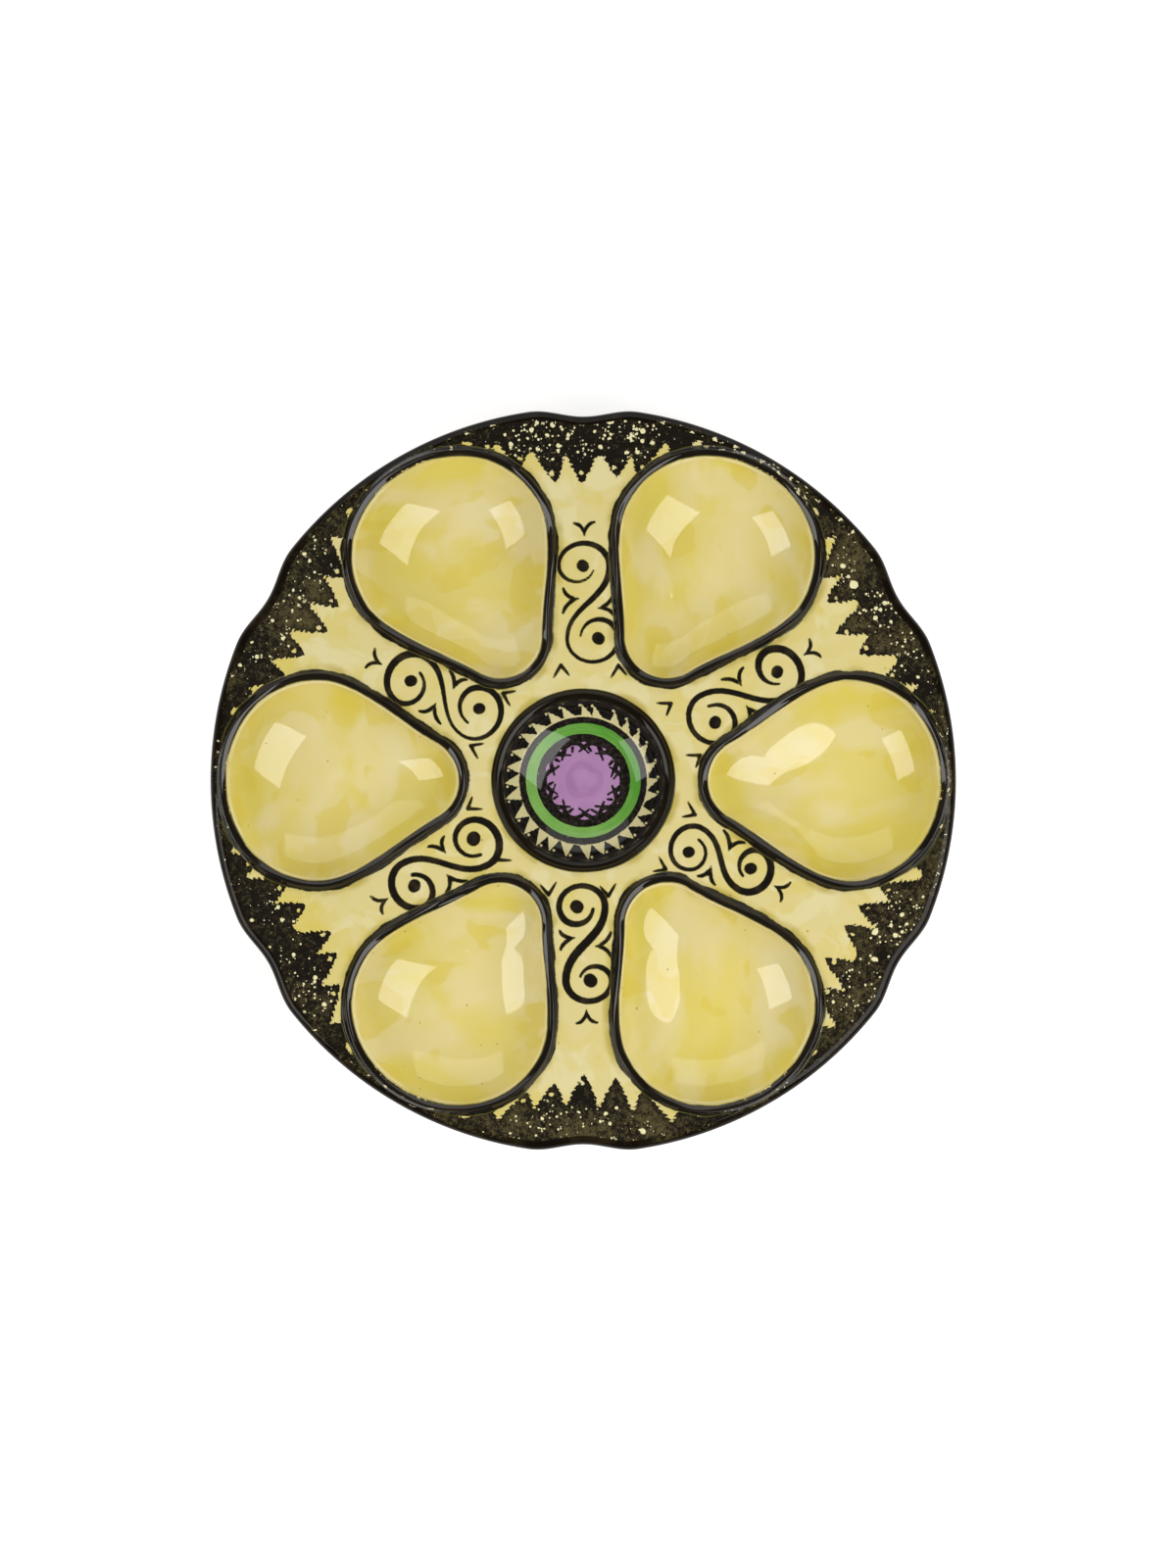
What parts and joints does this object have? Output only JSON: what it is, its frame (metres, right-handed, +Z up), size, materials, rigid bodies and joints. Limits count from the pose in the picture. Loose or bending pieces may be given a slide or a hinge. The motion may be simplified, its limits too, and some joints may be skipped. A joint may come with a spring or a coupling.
{
  "type": "oyster plate",
  "caption": "Round glazed faience plate with pear-shaped wells set round a small sauce well, raised black lips, a scalloped rim and a foot ring; serves oysters on the half shell.",
  "frame": {"origin": "centre of the foot ring, on the surface that the plate stands on", "axes": "+Z up through the middle of the sauce well, +X outwards along the first oyster well"},
  "size_m": [0.24, 0.2378, 0.0275],
  "materials": {
    "yellow_glaze": "glossy cream-yellow glaze with black painted scrolls and a sponged black border",
    "well_glaze": "glossy cream glaze washed with mustard yellow brush strokes",
    "black_glaze": "glossy brown-black line paint under a clear glaze",
    "sauce_well_paint": "glossy black with cream teeth, a green ring and a violet centre",
    "foot_glaze": "glossy yellow glaze, wiped off the standing face to the buff clay"
  },
  "bodies": {
    "root": {"plate_field": "yellow_glaze", "scalloped_rim": "black_glaze", "sauce_well": "sauce_well_paint", "sauce_lip": "black_glaze", "foot_ring": "foot_glaze", "oyster_well_1": "well_glaze", "oyster_well_2": "well_glaze", "oyster_well_3": "well_glaze", "oyster_well_4": "well_glaze", "oyster_well_5": "well_glaze", "oyster_well_6": "well_glaze", "well_lip_1": "black_glaze", "well_lip_2": "black_glaze", "well_lip_3": "black_glaze", "well_lip_4": "black_glaze", "well_lip_5": "black_glaze", "well_lip_6": "black_glaze"}
  },
  "joints": []
}
